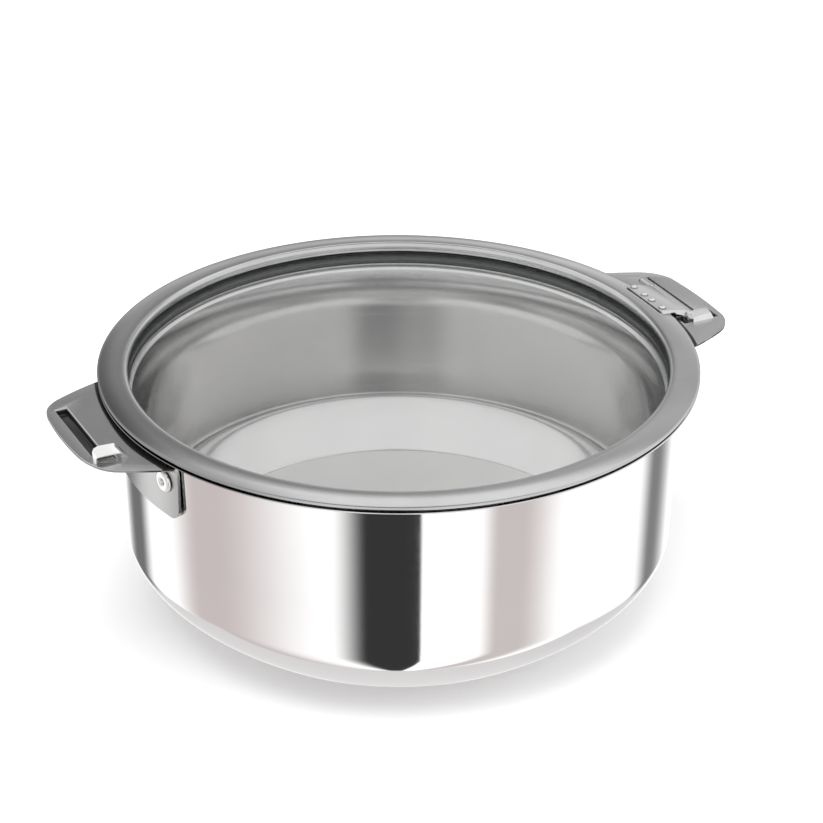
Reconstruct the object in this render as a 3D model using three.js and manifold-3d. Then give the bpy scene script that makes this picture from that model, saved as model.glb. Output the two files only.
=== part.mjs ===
import * as THREE from 'three';
import { mergeVertices } from 'three/addons/utils/BufferGeometryUtils.js';
import Module from 'manifold-3d';

const wasm = await Module();
wasm.setup();

// A steel serving pot with two slotted grips and a glazed lid ring hinged in the right grip.
// Origin at the middle of the base, +Z up, grips on the X axis, hinge on the +X side.
// All lengths are in millimetres.

// Values that all pieces share
const sheet = 0.8; // pressed steel
const seatGap = 0.3; // left between pieces that rest on each other
const overrun = 3; // how far a cutter passes the piece it cuts
const roundFacets = 48; // sides of the round pieces
const smallFacets = 12; // sides of rivets
const boreFacets = 16; // sides of pin, bores and sleeves

// The pot
const pot = {
  height: 98.8, // table to the face that carries the lid
  rimRadius: 120, // outer edge of the flange, and of the lid ring above it
  flangeWidth: 9.5,
  flangeThickness: 1,
  ledgeWidth: 4, // step in the mouth that carries the pane's ring
  ledgeFall: 1.4, // slope of the ledge
  bowlFloorHeight: 8,
  mouthGap: 0.5, // mouth wall to shell
  wallTaper: 1.2, // how much less the shell's radius is where it turns in
  turnHeight: 29.7, // where the shell's wall starts to turn in, and the bowl's beside it
  turnControlDrop: 10.4, // how far below that the point lies that steers the belly's curve
  turnWidth: 24.7, // shell's wall to its foot
  footChamfer: 0.9,
  footWidth: 6.5, // flat ring that stands on the table
  discOverlap: 3.5, // how far the base disc lies on the foot ring
  turnSteps: 5,
};

// The lid
const lid = {
  edgeGap: 0.8, // dark gap between ring and flange
  ringRise: 2, // underside of the ring's edge to its crest
  lipHeight: 4, // crest to the lower end of the inner lip
  lipGap: 0.8, // lip to the wall of the pane's ring
  glassThickness: 3,
  glassCover: 0.9, // how far the seal covers the pane's edge
  sealWall: 0.5,
  sealLip: 0.4,
  sealFoot: 0.8,
  retainerSheet: 0.6,
  retainerSeat: 1, // thickness of the ring that rests on the flange
  retainerWidth: 4, // how far that ring reaches outward
  retainerFootCover: 0.2, // how far the retainer's foot reaches in past the seal
};

// The two grips, drawn for the +X side
const grip = {
  thickness: 1.2,
  length: 29.1, // apron to tip
  halfWidth: 39.4, // at its root
  bendRadius: 8.1, // upper face of the bend between grip and apron
  bendSteps: 5,
  bendLand: 2, // flat part that the bend carries into the plate
  apronHalfWidth: 33.3,
  apronHeight: 28.5, // upper face of the grip to the apron's lower edge
  apronCorner: 5,
  wingFall: 3, // how far the bend's sides narrow, below the upper face
  slotHalfLength: 24,
  channelDepth: 3.3, // upper face to the floor of the channel pressed into the plate
};

// Strap over the near end of the left grip's slot
const strap = {
  tipMargin: 4.4, // tip of the grip to the outer foot
  length: 11, // foot to foot
  width: 7.7,
  height: 3.2,
  innerHeight: 2.9,
  thickness: 1.1,
  lead: 2, // length of the sloped inner end
  shoulder: 1.3, // length of the rounded outer end
};

// Slot of the left grip, a channel pressed into the plate
const leftSlot = { tipMargin: 5.4, width: 5.3 };

// Hinge in the right grip
const hinge = {
  tipMargin: 13, // tip of the grip to the pin's middle
  rise: 0.1, // pin's middle above the grip's upper face
  pinRadius: 1.2,
  pinHeadRadius: 1.7,
  pinHeadLength: 0.8,
  pinClearance: 0.08,
  knuckleRadius: 2,
  slotInnerGap: 0.8, // knuckle to the slot's inner edge
  slotOuterGap: 0.7, // knuckle to the slot's outer edge
  sleeveRadius: 2.15,
  farSleeveWidth: 7.4,
  headRoom: 2.2, // length of the channel past the sleeve, where the pin's head lies
  capReach: 9.6, // size of the cap over the pin's near end, across the slot
  capLength: 4.6, // along the slot
  capHeight: 2.6,
  capShoulderHeight: 2,
  capEdgeHeight: 0.8,
  capSlope: 1.2, // length of the cap's level top
  capShoulder: 1, // length of its rounded near end
  pinEndInset: 1.4, // near end of the cap to the end of the pin in it
  windowLength: 3.8, // opening beside the cap
  windowNearInset: 0.4, // from the cap's near end
  windowFarInset: 3, // past the cap's far end
};

// Leaf between lid ring and pin
const leaf = {
  overlap: 5.1, // how far it lies over the ring
  bendOut: 0.6, // its bend, past the ring's edge
  sideGap: 1.1, // to the cap and the sleeve
  lift: 0.25, // leaf over the ring at its inner edge
  slopeToBend: 0.6, // how much lower the leaf is at its bend
  sideDepth: 1.5, // folded side edges
  sideInset: 0.7, // from the bend
  sideEndGap: 1.7, // to the pin's middle
  heelInner: 1.6, // stop heel, measured from the pin's middle
  heelOuter: 0.6,
  heelHeight: 3.3,
  heelLength: 3.5,
};

// Rivets
const gripRivet = {
  sideDistance: 8.3, // from the apron's side edge
  drop: 13, // upper face of the grip to the rivets
  headRadius: 4.5,
  headHeight: 1.5,
  shankRadius: 2.1,
  holeRadius: 2.4,
  tailRadius: 3.4,
  tailLength: 2.3,
  hollowRadius: 1.4,
  hollowDepth: 3,
};
const leafRivet = {
  edgeDistance: 1.8, // from the leaf's edge on the ring
  headRadius: 1.6,
  headHeight: 0.9,
  shankRadius: 0.9,
  holeRadius: 1.1,
  tailRadius: 1.4,
  tailThickness: 0.4,
};

// Shares of the grip's length and half width, from its root along one side to the end of its tip's edge
const gripSideShares = [[0, 1], [0.313, 0.944], [0.622, 0.838], [0.918, 0.746], [0.966, 0.508]];
const tipBowShare = 1.034;
// Shares of the lid ring's width, from the lip outward, and of its rise, for its upper face and its underside
const ringTopShares = [
  [0, 0.1], [0.04, 0.6], [0.14, 0.95], [0.28, 0.975], [0.58, 0.73], [0.95, 0.43], [1, 0.23],
];
const ringUnderShares = [[0.908, 0], [0.583, 0.325], [0.28, 0.575], [0.12, 0.44]];
// Shares of the leaf's half width at which its rivets sit
const leafRivetShares = [0.2, 0.75];
// Shares of a domed head's radius and height, from its rim to its crown
const domeShares = [[1, 0], [0.86, 0.6], [0.45, 1]];

// Radii that follow from those above
const mouthRadius = pot.rimRadius - pot.flangeWidth;
const bowlRadius = mouthRadius - pot.ledgeWidth;
const wallRadius = mouthRadius + sheet + pot.mouthGap + sheet;
const turnRadius = wallRadius - pot.wallTaper;
const footRadius = turnRadius - pot.turnWidth;
const footEdge = footRadius - pot.footChamfer;
const retainerOuter = mouthRadius - seatGap;
const retainerInner = retainerOuter - lid.retainerSheet;
const ringLip = retainerInner - lid.lipGap - sheet;
const ringWidth = pot.rimRadius - ringLip;
const sealOuter = retainerInner - seatGap;
const glassRadius = sealOuter - lid.sealWall - seatGap;
const sealInner = glassRadius - lid.glassCover;
const apronInner = wallRadius + seatGap;
const apronOuter = apronInner + grip.thickness;
const bendCentreReach = apronInner + grip.bendRadius;

// Heights that follow
const flangeFace = pot.height;
const flangeUnderside = pot.height - pot.flangeThickness;
const shellTop = flangeUnderside - seatGap;
const ringUnderside = flangeFace + lid.edgeGap;
const lipBottom = ringUnderside + lid.ringRise - lid.lipHeight;
const sealTop = lipBottom - seatGap;
const glassTop = sealTop - lid.sealLip - seatGap;
const glassBottom = glassTop - lid.glassThickness;
const sealBottom = glassBottom - seatGap - lid.sealFoot;
const retainerFootTop = sealBottom - seatGap;
const retainerBottom = retainerFootTop - lid.retainerSheet;
const ledgeHeight = retainerBottom - seatGap;
const gripTop = shellTop;
const gripUnderside = gripTop - grip.thickness;
const channelFloor = gripTop - grip.channelDepth;
const channelBottom = channelFloor - grip.thickness;
const apronBottom = gripTop - grip.apronHeight;
const bendCentreHeight = gripTop - grip.bendRadius;
const rivetHeight = gripTop - gripRivet.drop;
const pinHeight = gripTop + hinge.rise;

// Places on the grips that follow, from the pot's axis outward and from the grip's middle sideways
const gripReach = apronInner + grip.length;
const strapOuter = gripReach - strap.tipMargin;
const strapInner = strapOuter - strap.length;
const strapNearEnd = grip.slotHalfLength - seatGap;
const strapFarEnd = strapNearEnd - strap.width;
const hingeReach = gripReach - hinge.tipMargin;
const boreRadius = hinge.pinRadius + hinge.pinClearance;
const slotInner = hingeReach - hinge.knuckleRadius - hinge.slotInnerGap;
const slotOuter = hingeReach + hinge.knuckleRadius + hinge.slotOuterGap;
const farSleeveStart = strapNearEnd - hinge.farSleeveWidth;
const capFarEnd = -strapFarEnd;
const capNearEnd = capFarEnd - hinge.capLength;
const pinNearEnd = capNearEnd + hinge.pinEndInset;
const leafInner = pot.rimRadius - leaf.overlap;
const leafBend = pot.rimRadius + leaf.bendOut;
const leafTopInner = ringUnderside + lid.ringRise * ringShareAt(leafInner) + leaf.lift + sheet;
const leafHalfWidth = strapFarEnd - leaf.sideGap;
const gripRivetHalfSpacing = grip.apronHalfWidth - gripRivet.sideDistance;
const leafRivetReach = leafInner + leafRivet.edgeDistance;

// Share of the ring's rise that its upper face has at a radius
function ringShareAt(radius) {
  const share = (radius - ringLip) / ringWidth;
  const next = ringTopShares.findIndex(([across]) => across >= share);
  const [fromAcross, fromRise] = ringTopShares[next - 1];
  const [toAcross, toRise] = ringTopShares[next];
  return THREE.MathUtils.mapLinear(share, fromAcross, toAcross, fromRise, toRise);
}

// Closed surface of a geometry: shared corners merged, flat triangles dropped
function welded(geometry) {
  geometry.deleteAttribute('normal');
  geometry.deleteAttribute('uv');
  const merged = mergeVertices(geometry);
  const corners = merged.index.array;
  const kept = [];
  for (let i = 0; i < corners.length; i += 3) {
    const [a, b, c] = [corners[i], corners[i + 1], corners[i + 2]];
    if (a !== b && b !== c && c !== a) kept.push(a, b, c);
  }
  merged.setIndex(kept);
  return merged;
}

function solid(geometry) {
  const surface = welded(geometry);
  return new wasm.Manifold(new wasm.Mesh({
    numProp: 3,
    vertProperties: new Float32Array(surface.attributes.position.array),
    triVerts: new Uint32Array(surface.index.array),
  }));
}

function surfaceOf(body) {
  const mesh = body.getMesh();
  const geometry = new THREE.BufferGeometry();
  geometry.setAttribute('position', new THREE.BufferAttribute(mesh.vertProperties, 3));
  geometry.setIndex(new THREE.BufferAttribute(mesh.triVerts, 1));
  return geometry;
}

// Body of revolution about Z. The profile runs upward along its outer side.
function turned(profile, facets = roundFacets) {
  const points = profile.map(([radius, height]) => new THREE.Vector2(radius, height));
  return new THREE.LatheGeometry(points, facets).rotateX(Math.PI / 2);
}

// Ring whose profile doesn't touch the axis
function turnedRing(profile) {
  return turned([...profile, profile[0]]);
}

function cylinder(radius, length, facets) {
  return new THREE.CylinderGeometry(radius, radius, length, facets);
}

function outlined(points) {
  return new THREE.Shape(points.map(([across, up]) => new THREE.Vector2(across, up)));
}

function extruded(shape, depth, curveSegments = 6) {
  return new THREE.ExtrudeGeometry(shape, { depth, bevelEnabled: false, curveSegments });
}

// Plate whose outline lies in the XY plane, between two heights
function standing(shape, bottom, top) {
  return extruded(shape, top - bottom).translate(0, 0, bottom);
}

// Bar whose outline lies in the XZ plane, between two places along Y
function alongY(shape, start, end) {
  return extruded(shape, end - start).rotateX(Math.PI / 2).translate(0, end, 0);
}

// Bar whose outline lies in the YZ plane, between two places along X
function alongX(shape, start, end) {
  const turn = new THREE.Matrix4().makeBasis(
    new THREE.Vector3(0, 1, 0), new THREE.Vector3(0, 0, 1), new THREE.Vector3(1, 0, 0));
  return extruded(shape, end - start).applyMatrix4(turn).translate(start, 0, 0);
}

function block([x0, x1], [y0, y1], [z0, z1]) {
  const box = new THREE.BoxGeometry(x1 - x0, y1 - y0, z1 - z0);
  return box.translate((x0 + x1) / 2, (y0 + y1) / 2, (z0 + z1) / 2);
}

// Line moved sideways by a distance, to the left of its direction, with mitred corners
function offsetLine(line, distance) {
  const points = line.map(([x, y]) => new THREE.Vector2(x, y));
  const normals = points.slice(1).map((point, i) => {
    const along = point.clone().sub(points[i]).normalize();
    return new THREE.Vector2(-along.y, along.x);
  });
  return points.map((point, i) => {
    const before = normals[Math.max(i - 1, 0)];
    const after = normals[Math.min(i, normals.length - 1)];
    const mitre = before.clone().add(after).normalize();
    const moved = point.clone().addScaledVector(mitre, distance / mitre.dot(after));
    return [moved.x, moved.y];
  });
}

function curve(from, control, to, steps) {
  const bend = new THREE.QuadraticBezierCurve(
    new THREE.Vector2(...from), new THREE.Vector2(...control), new THREE.Vector2(...to));
  return bend.getPoints(steps).map((point) => [point.x, point.y]);
}

function arc(centre, radius, fromAngle, toAngle, steps) {
  return Array.from({ length: steps + 1 }, (unused, i) => {
    const angle = THREE.MathUtils.lerp(fromAngle, toAngle, i / steps);
    return [centre[0] + radius * Math.cos(angle), centre[1] + radius * Math.sin(angle)];
  });
}

// Radius of a rising line at a height
function radiusOn(line, height) {
  const next = line.findIndex(([, z]) => z >= height);
  const [fromRadius, fromHeight] = line[next - 1];
  const [toRadius, toHeight] = line[next];
  return THREE.MathUtils.mapLinear(height, fromHeight, toHeight, fromRadius, toRadius);
}

// Outer face of the belly, where the shell turns in to its foot
function bellyLine() {
  const control = [turnRadius, pot.turnHeight - pot.turnControlDrop];
  return curve([footRadius, pot.footChamfer], control, [turnRadius, pot.turnHeight], pot.turnSteps);
}

// Outer face of the shell, from the foot up to the flange
function shellLine() {
  return [[footEdge - pot.footWidth, 0], [footEdge, 0], ...bellyLine(), [wallRadius, shellTop]];
}

// Inner face of the bowl, from the middle of its floor up to the flange, beside the shell's belly
function bowlLine() {
  const floor = pot.bowlFloorHeight;
  const turn = offsetLine(bellyLine(), turnRadius - bowlRadius);
  return [[0, floor], [radiusOn(turn, floor), floor], ...turn.filter(([, z]) => z > floor),
    [bowlRadius, ledgeHeight - pot.ledgeFall], [mouthRadius, ledgeHeight], [mouthRadius, flangeFace]];
}

function outerShell() {
  const outer = shellLine();
  const inner = offsetLine(outer, sheet);
  let shell = solid(turnedRing([...outer, ...inner.reverse()]));
  for (const hole of gripRivetHoles()) shell = shell.subtract(hole);
  return surfaceOf(shell);
}

function innerBowl() {
  const inside = bowlLine();
  const outside = offsetLine(inside, -sheet);
  outside.pop();
  const flange = [[mouthRadius + sheet, flangeUnderside], [pot.rimRadius, flangeUnderside],
    [pot.rimRadius, flangeFace]];
  return turned([...outside, ...flange, ...inside.reverse()]);
}

function baseDisc() {
  const bottom = sheet + seatGap;
  const radius = footEdge - pot.footWidth + pot.discOverlap;
  return turned([[0, bottom], [radius, bottom], [radius, bottom + sheet], [0, bottom + sheet]]);
}

// Liner that fills the space between bowl and shell below the rivets
function insulation() {
  const bottom = sheet + seatGap + sheet + seatGap;
  const top = rivetHeight - gripRivet.tailRadius - seatGap;
  const outer = offsetLine(shellLine(), sheet + seatGap).filter(([, z]) => z > bottom && z < top);
  const inner = offsetLine(bowlLine(), -sheet - seatGap).filter(([, z]) => z < top);
  const outerTop = radiusOn(shellLine(), top) - sheet - seatGap;
  const innerTop = bowlRadius + sheet + seatGap;
  return turned([[0, bottom], [footEdge, bottom], ...outer, [outerTop, top], [innerTop, top],
    ...inner.reverse()]);
}

// Upper face of a grip, seen from above
function gripOutline() {
  const place = ([along, across]) => [apronInner + along * grip.length, across * grip.halfWidth];
  const [root, side, shoulder, corner, tip] = gripSideShares.map(place);
  const far = ([x, y]) => [x, -y];
  const shape = new THREE.Shape();
  shape.moveTo(0, -root[1]);
  shape.lineTo(...far(root));
  shape.quadraticCurveTo(...far(side), ...far(shoulder));
  shape.quadraticCurveTo(...far(corner), ...far(tip));
  shape.quadraticCurveTo(...place([tipBowShare, 0]), ...tip);
  shape.quadraticCurveTo(...corner, ...shoulder);
  shape.quadraticCurveTo(...side, ...root);
  shape.lineTo(0, root[1]);
  return shape;
}

// Front of a grip: full width at the upper face, narrowing over the bend to the apron
function apronOutline() {
  const half = grip.apronHalfWidth;
  const wide = grip.halfWidth;
  const shape = new THREE.Shape();
  shape.moveTo(-wide, gripTop + overrun);
  shape.lineTo(-wide, gripTop);
  shape.lineTo(-half, gripTop - grip.wingFall);
  shape.lineTo(-half, apronBottom + grip.apronCorner);
  shape.quadraticCurveTo(-half, apronBottom, grip.apronCorner - half, apronBottom);
  shape.lineTo(half - grip.apronCorner, apronBottom);
  shape.quadraticCurveTo(half, apronBottom, half, apronBottom + grip.apronCorner);
  shape.lineTo(half, gripTop - grip.wingFall);
  shape.lineTo(wide, gripTop);
  shape.lineTo(wide, gripTop + overrun);
  return shape;
}

// Apron and bend, cut from a full turned ring
function apron() {
  const centre = [bendCentreReach, bendCentreHeight];
  const upright = Math.PI / 2;
  const under = arc(centre, grip.bendRadius - grip.thickness, Math.PI, upright, grip.bendSteps);
  const upper = arc(centre, grip.bendRadius, upright, Math.PI, grip.bendSteps);
  const landEnd = bendCentreReach + 2 * grip.bendLand;
  const profile = [[apronInner, apronBottom], [apronOuter, apronBottom], ...under,
    [landEnd, gripUnderside], [landEnd, gripTop], ...upper];
  const ring = solid(turnedRing(profile));
  const front = solid(alongX(apronOutline(), 0, gripReach));
  const plan = solid(standing(gripOutline(), apronBottom - overrun, gripTop + overrun));
  return ring.intersect(front).intersect(plan);
}

function plate() {
  const sheetPlate = solid(standing(gripOutline(), gripUnderside, gripTop));
  const core = cylinder(bendCentreReach + grip.bendLand, grip.thickness + 2 * overrun, roundFacets);
  const middle = (gripTop + gripUnderside) / 2;
  return sheetPlate.subtract(solid(core.rotateX(Math.PI / 2).translate(0, 0, middle)));
}

// Grip with a channel pressed into its plate. Each opening is a reach and a width.
function withChannel(body, openings) {
  const wall = grip.thickness;
  const grown = ([from, to]) => [from - wall, to + wall];
  let pressed = body;
  for (const [reaches, widths] of openings) {
    pressed = pressed.add(solid(block(grown(reaches), grown(widths), [channelBottom, gripTop])));
  }
  for (const [reaches, widths] of openings) {
    pressed = pressed.subtract(solid(block(reaches, widths, [channelFloor, gripTop + overrun])));
  }
  return pressed;
}

function strapOutline() {
  const { thickness, lead, shoulder } = strap;
  const [inner, outer] = [strapInner, strapOuter];
  const sunk = gripTop - grip.thickness / 2;
  const crown = gripTop + strap.height;
  const innerCrown = gripTop + strap.innerHeight;
  return outlined([
    [outer, sunk], [outer, crown - shoulder], [outer - shoulder, crown], [inner + lead, innerCrown],
    [inner, innerCrown - lead / 2], [inner, innerCrown - thickness - lead / 2],
    [inner + lead, innerCrown - thickness], [outer - shoulder - thickness / 2, crown - thickness],
    [outer - thickness, crown - shoulder - thickness / 2], [outer - thickness, sunk],
  ]);
}

// Rivet axes of one grip, as angles about the pot's axis
function rivetAngles(middle) {
  const spread = Math.asin(gripRivetHalfSpacing / apronOuter);
  return [middle - spread, middle + spread];
}

function gripRivetHoles() {
  return [...rivetAngles(0), ...rivetAngles(Math.PI)].map((angle) => {
    const length = apronOuter - bowlRadius + overrun;
    const hole = cylinder(gripRivet.holeRadius, length, smallFacets).rotateZ(-Math.PI / 2);
    hole.translate(apronOuter + overrun - length / 2, 0, rivetHeight).rotateZ(angle);
    return solid(hole);
  });
}

// Grip before its channel, strap and bearings are made
function blankGrip() {
  let body = plate().add(apron());
  for (const hole of gripRivetHoles()) body = body.subtract(hole);
  return body;
}

// Outline of the cap over the pin's near end, in the YZ plane
function capOutline() {
  const sunk = gripTop - grip.thickness / 2;
  const crown = gripTop + hinge.capHeight;
  return outlined([
    [capNearEnd, sunk], [capFarEnd, sunk], [capFarEnd, crown], [capFarEnd - hinge.capSlope, crown],
    [capNearEnd + hinge.capShoulder, gripTop + hinge.capShoulderHeight],
    [capNearEnd, gripTop + hinge.capEdgeHeight],
  ]);
}

// The left grip is made on the +X side with its strap towards +Y, then turned half round
function leftGrip() {
  const slotEnd = gripReach - leftSlot.tipMargin;
  const slot = [[slotEnd - leftSlot.width, slotEnd], [-grip.slotHalfLength, strapFarEnd + seatGap]];
  const underStrap = [[strapInner - seatGap, slotEnd], [strapFarEnd, grip.slotHalfLength]];
  const landReach = [strapInner - seatGap - strap.lead, strapInner + strap.lead / 2];
  const landHeight = [gripTop - grip.thickness / 2, gripTop + strap.innerHeight - strap.lead / 2];
  const body = withChannel(blankGrip(), [slot, underStrap])
    .add(solid(alongY(strapOutline(), strapFarEnd, strapNearEnd)))
    .add(solid(block(landReach, [strapFarEnd, strapNearEnd], landHeight)));
  return surfaceOf(body).rotateZ(Math.PI);
}

function barAlongY(radius, start, end) {
  return cylinder(radius, end - start, boreFacets).translate(hingeReach, (start + end) / 2, pinHeight);
}

function rightGrip() {
  const farSleeve = [farSleeveStart, strapNearEnd];
  const slot = [[slotInner, slotOuter], [capFarEnd, strapNearEnd + hinge.headRoom]];
  const windowWidth = [capNearEnd + hinge.windowNearInset, capFarEnd + hinge.windowFarInset];
  const window = [[slotInner - hinge.windowLength, slotInner], windowWidth];
  const body = withChannel(blankGrip(), [slot, window])
    .add(solid(block([slotInner, slotOuter], farSleeve, [gripUnderside, gripTop])))
    .add(solid(alongX(capOutline(), strapInner, strapInner + hinge.capReach)))
    .add(solid(barAlongY(hinge.sleeveRadius, ...farSleeve)))
    .subtract(solid(barAlongY(boreRadius, pinNearEnd - seatGap, strapNearEnd + overrun)));
  return surfaceOf(body);
}

// Pin with a peened head at its far end
function hingePin() {
  const headStart = strapNearEnd + seatGap;
  const headEnd = headStart + hinge.pinHeadLength;
  const shaft = solid(barAlongY(hinge.pinRadius, pinNearEnd, headEnd));
  return surfaceOf(shaft.add(solid(barAlongY(hinge.pinHeadRadius, headStart, headEnd))));
}

// Upper face of the leaf: its edge on the ring, its bend, and its run down to the knuckle
function leafTopLine() {
  const bendHeight = leafTopInner - leaf.slopeToBend;
  const knuckleTop = pinHeight + hinge.knuckleRadius;
  return [[leafInner, leafTopInner], [leafBend, bendHeight], [hingeReach, knuckleTop]];
}

function leafHeightAt(reach) {
  const [, bend, knuckle] = leafTopLine();
  return THREE.MathUtils.mapLinear(reach, bend[0], knuckle[0], bend[1], knuckle[1]);
}

function leafSection() {
  const top = leafTopLine();
  const under = offsetLine(top, -sheet);
  return outlined([...under, ...top.reverse()]);
}

// Folded side edge of the leaf, below its sloped part
function leafSide() {
  const sideStart = leafBend + leaf.sideInset;
  const sideEnd = hingeReach - leaf.sideEndGap;
  const drop = sheet + leaf.sideDepth;
  return outlined([
    [sideStart, leafHeightAt(sideStart) - drop], [sideEnd, leafHeightAt(sideEnd) - drop],
    [sideEnd, leafHeightAt(sideEnd) - sheet / 2], [sideStart, leafHeightAt(sideStart) - sheet / 2],
  ]);
}

function hingeLeaf() {
  const half = leafHalfWidth;
  const heel = block([hingeReach - leaf.heelInner, hingeReach - leaf.heelOuter],
    [half - leaf.heelLength, half], [pinHeight + boreRadius, pinHeight + leaf.heelHeight]);
  let body = solid(alongY(leafSection(), -half, half))
    .add(solid(alongY(leafSide(), -half, sheet - half)))
    .add(solid(alongY(leafSide(), half - sheet, half)))
    .add(solid(barAlongY(hinge.knuckleRadius, -half, half)))
    .add(solid(heel));
  body = body.subtract(solid(barAlongY(boreRadius, -half - overrun, half + overrun)));
  for (const hole of leafRivetHoles()) body = body.subtract(hole);
  return surfaceOf(body);
}

function leafRivetPlaces() {
  const shares = [...leafRivetShares.map((share) => -share).reverse(), ...leafRivetShares];
  return shares.map((share) => [leafRivetReach, share * leafHalfWidth]);
}

function leafRivetHoles() {
  const length = lid.ringRise + sheet + 2 * overrun;
  return leafRivetPlaces().map(([x, y]) => {
    const hole = cylinder(leafRivet.holeRadius, length, smallFacets).rotateX(Math.PI / 2);
    return solid(hole.translate(x, y, ringUnderside + lid.ringRise / 2));
  });
}

// Broad ring round the mouth, with an inner lip that turns down to the pane
function lidRing() {
  const place = ([across, rise]) => [ringLip + across * ringWidth, ringUnderside + rise * lid.ringRise];
  const top = ringTopShares.map(place);
  const under = ringUnderShares.map(place);
  const profile = [[ringLip, lipBottom], [ringLip + sheet, lipBottom], ...under.reverse(),
    [pot.rimRadius, ringUnderside], ...top.reverse()];
  let ring = solid(turnedRing(profile));
  for (const hole of leafRivetHoles()) ring = ring.subtract(hole);
  return surfaceOf(ring);
}

// Ring under the pane: its seat rests on the flange and its foot carries the seal
function lidRetainer() {
  const seat = flangeFace + seatGap;
  const foot = sealInner - lid.retainerFootCover;
  return turnedRing([
    [foot, retainerBottom], [retainerOuter, retainerBottom], [retainerOuter, seat],
    [retainerInner + lid.retainerWidth, seat], [retainerInner + lid.retainerWidth, seat + lid.retainerSeat],
    [retainerInner, seat + lid.retainerSeat], [retainerInner, retainerFootTop], [foot, retainerFootTop],
  ]);
}

// Seal with a groove that holds the pane's edge
function glassSeal() {
  const groove = glassRadius + seatGap;
  return turnedRing([
    [sealInner, sealBottom], [sealOuter, sealBottom], [sealOuter, sealTop], [sealInner, sealTop],
    [sealInner, sealTop - lid.sealLip], [groove, sealTop - lid.sealLip],
    [groove, sealBottom + lid.sealFoot], [sealInner, sealBottom + lid.sealFoot],
  ]);
}

function lidGlass() {
  return turned([[0, glassBottom], [glassRadius, glassBottom], [glassRadius, glassTop], [0, glassTop]]);
}

// Points of a domed head, from its rim to its crown
function dome(radius, height, base) {
  return domeShares.map(([across, rise]) => [radius * across, base + height * rise]);
}

// Hollow rivet of a grip, along its own axis, from its tail to its head
function gripRivetBody() {
  const { headRadius, headHeight, shankRadius, tailRadius, tailLength } = gripRivet;
  const { hollowRadius, hollowDepth } = gripRivet;
  const inside = radiusOn(shellLine(), rivetHeight) - sheet - seatGap;
  const face = apronOuter + seatGap;
  const head = dome(headRadius, headHeight, face).filter(([radius]) => radius > hollowRadius);
  const mouth = face + headHeight;
  return turned([[0, inside - tailLength], [tailRadius, inside - tailLength], [tailRadius, inside],
    [shankRadius, inside], [shankRadius, face], ...head, [hollowRadius, mouth],
    [hollowRadius, mouth - hollowDepth], [0, mouth - hollowDepth]], smallFacets);
}

function leafRivetBody() {
  const { headRadius, headHeight, shankRadius, tailRadius, tailThickness } = leafRivet;
  const share = leafRivet.edgeDistance / (leafBend - leafInner);
  const face = leafTopInner - leaf.slopeToBend * share + seatGap;
  const tail = flangeFace + seatGap;
  return turned([[0, tail], [tailRadius, tail], [tailRadius, tail + tailThickness],
    [shankRadius, tail + tailThickness], [shankRadius, face], ...dome(headRadius, headHeight, face),
    [0, face + headHeight]], smallFacets);
}

// Finishes
const polished = { color: 0xd9d9db, roughness: 0.12, metalness: 1 };
const satin = { color: 0xa9aaab, roughness: 0.38, metalness: 1 };
const pale = { color: 0xe4e4e2, roughness: 0.3, metalness: 1 };
const foam = { color: 0xe8dfc4, roughness: 0.95, metalness: 0 };
const rubber = { color: 0x1d1e20, roughness: 0.7, metalness: 0 };
const clear = { color: 0xeef4f3, roughness: 0.03, metalness: 0, transparent: true, opacity: 0.25 };

const server = new THREE.Group();

function piece(name, geometry, finish) {
  const mesh = new THREE.Mesh(geometry, new THREE.MeshStandardMaterial(finish));
  mesh.name = name;
  server.add(mesh);
  return mesh;
}

piece('outer_shell', outerShell(), polished);
piece('inner_bowl', innerBowl(), polished);
piece('base_disc', baseDisc(), satin);
piece('insulation', insulation(), foam);
piece('handle_left', leftGrip(), satin);
piece('handle_right', rightGrip(), satin);
piece('lid_ring', lidRing(), satin);
piece('lid_retainer', lidRetainer(), polished);
piece('glass_seal', glassSeal(), rubber);
piece('lid_glass', lidGlass(), clear);
piece('hinge_leaf', hingeLeaf(), pale);
piece('hinge_pin', hingePin(), pale);

[...rivetAngles(0), ...rivetAngles(Math.PI)].forEach((angle, i) => {
  const rivet = piece(`handle_rivet_${i + 1}`, gripRivetBody(), pale);
  rivet.rotation.set(0, Math.PI / 2, angle, 'ZYX');
  rivet.position.set(0, 0, rivetHeight);
});

leafRivetPlaces().forEach(([x, y], i) => {
  piece(`leaf_rivet_${i + 1}`, leafRivetBody(), pale).position.set(x, y, 0);
});

export default server;
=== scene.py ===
import math

import bmesh
import bpy
from mathutils import Matrix, Vector


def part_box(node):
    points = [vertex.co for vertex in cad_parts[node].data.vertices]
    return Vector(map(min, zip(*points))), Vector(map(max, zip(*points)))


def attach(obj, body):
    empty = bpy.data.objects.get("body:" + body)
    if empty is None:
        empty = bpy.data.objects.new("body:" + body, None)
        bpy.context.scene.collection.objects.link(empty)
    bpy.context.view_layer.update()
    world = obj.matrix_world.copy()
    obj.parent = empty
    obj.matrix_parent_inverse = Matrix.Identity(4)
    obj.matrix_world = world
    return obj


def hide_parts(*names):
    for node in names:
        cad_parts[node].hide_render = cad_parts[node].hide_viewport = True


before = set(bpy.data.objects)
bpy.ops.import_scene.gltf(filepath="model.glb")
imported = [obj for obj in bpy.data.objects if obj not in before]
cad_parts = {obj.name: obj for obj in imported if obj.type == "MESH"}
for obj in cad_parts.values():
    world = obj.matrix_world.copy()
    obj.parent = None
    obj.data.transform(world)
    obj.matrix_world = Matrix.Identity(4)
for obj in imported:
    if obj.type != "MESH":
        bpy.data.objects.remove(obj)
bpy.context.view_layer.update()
scene = bpy.context.scene
mm = 0.001
fullTurn = 2 * math.pi
print("frame loaded:", len(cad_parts), "nodes")

# Widths, radii and heights below are in millimetres, as on a workshop drawing


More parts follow.
